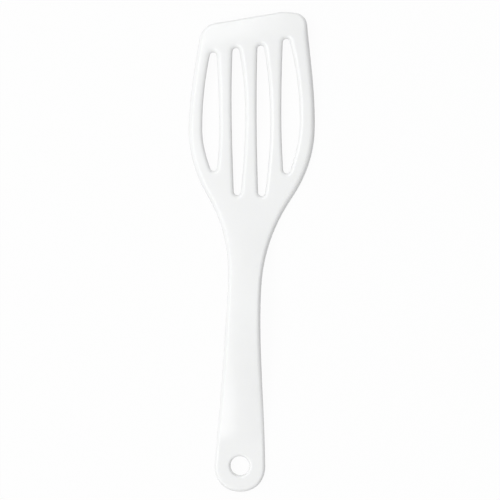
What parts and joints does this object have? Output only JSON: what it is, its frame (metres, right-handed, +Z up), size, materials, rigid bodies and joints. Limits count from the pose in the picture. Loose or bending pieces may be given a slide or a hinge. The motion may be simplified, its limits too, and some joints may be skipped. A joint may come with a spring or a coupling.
{
  "type": "kitchen turner",
  "caption": "Moulded turner with a round-ended handle, a hanging hole and a slotted blade with a slanted leading edge.",
  "frame": {"origin": "centre of the bounding box's bottom, on the table that the turner rests on, face up", "axes": "+Y along the turner from the handle's end to the leading edge, +Z up out of the blade's face, +X to the right seen from above with the tip away from the viewer"},
  "size_m": [0.0792, 0.2999, 0.0182],
  "materials": {
    "moulding": "smooth moulded white plastic, semi-gloss"
  },
  "bodies": {
    "root": {"turner": "moulding"}
  },
  "joints": []
}
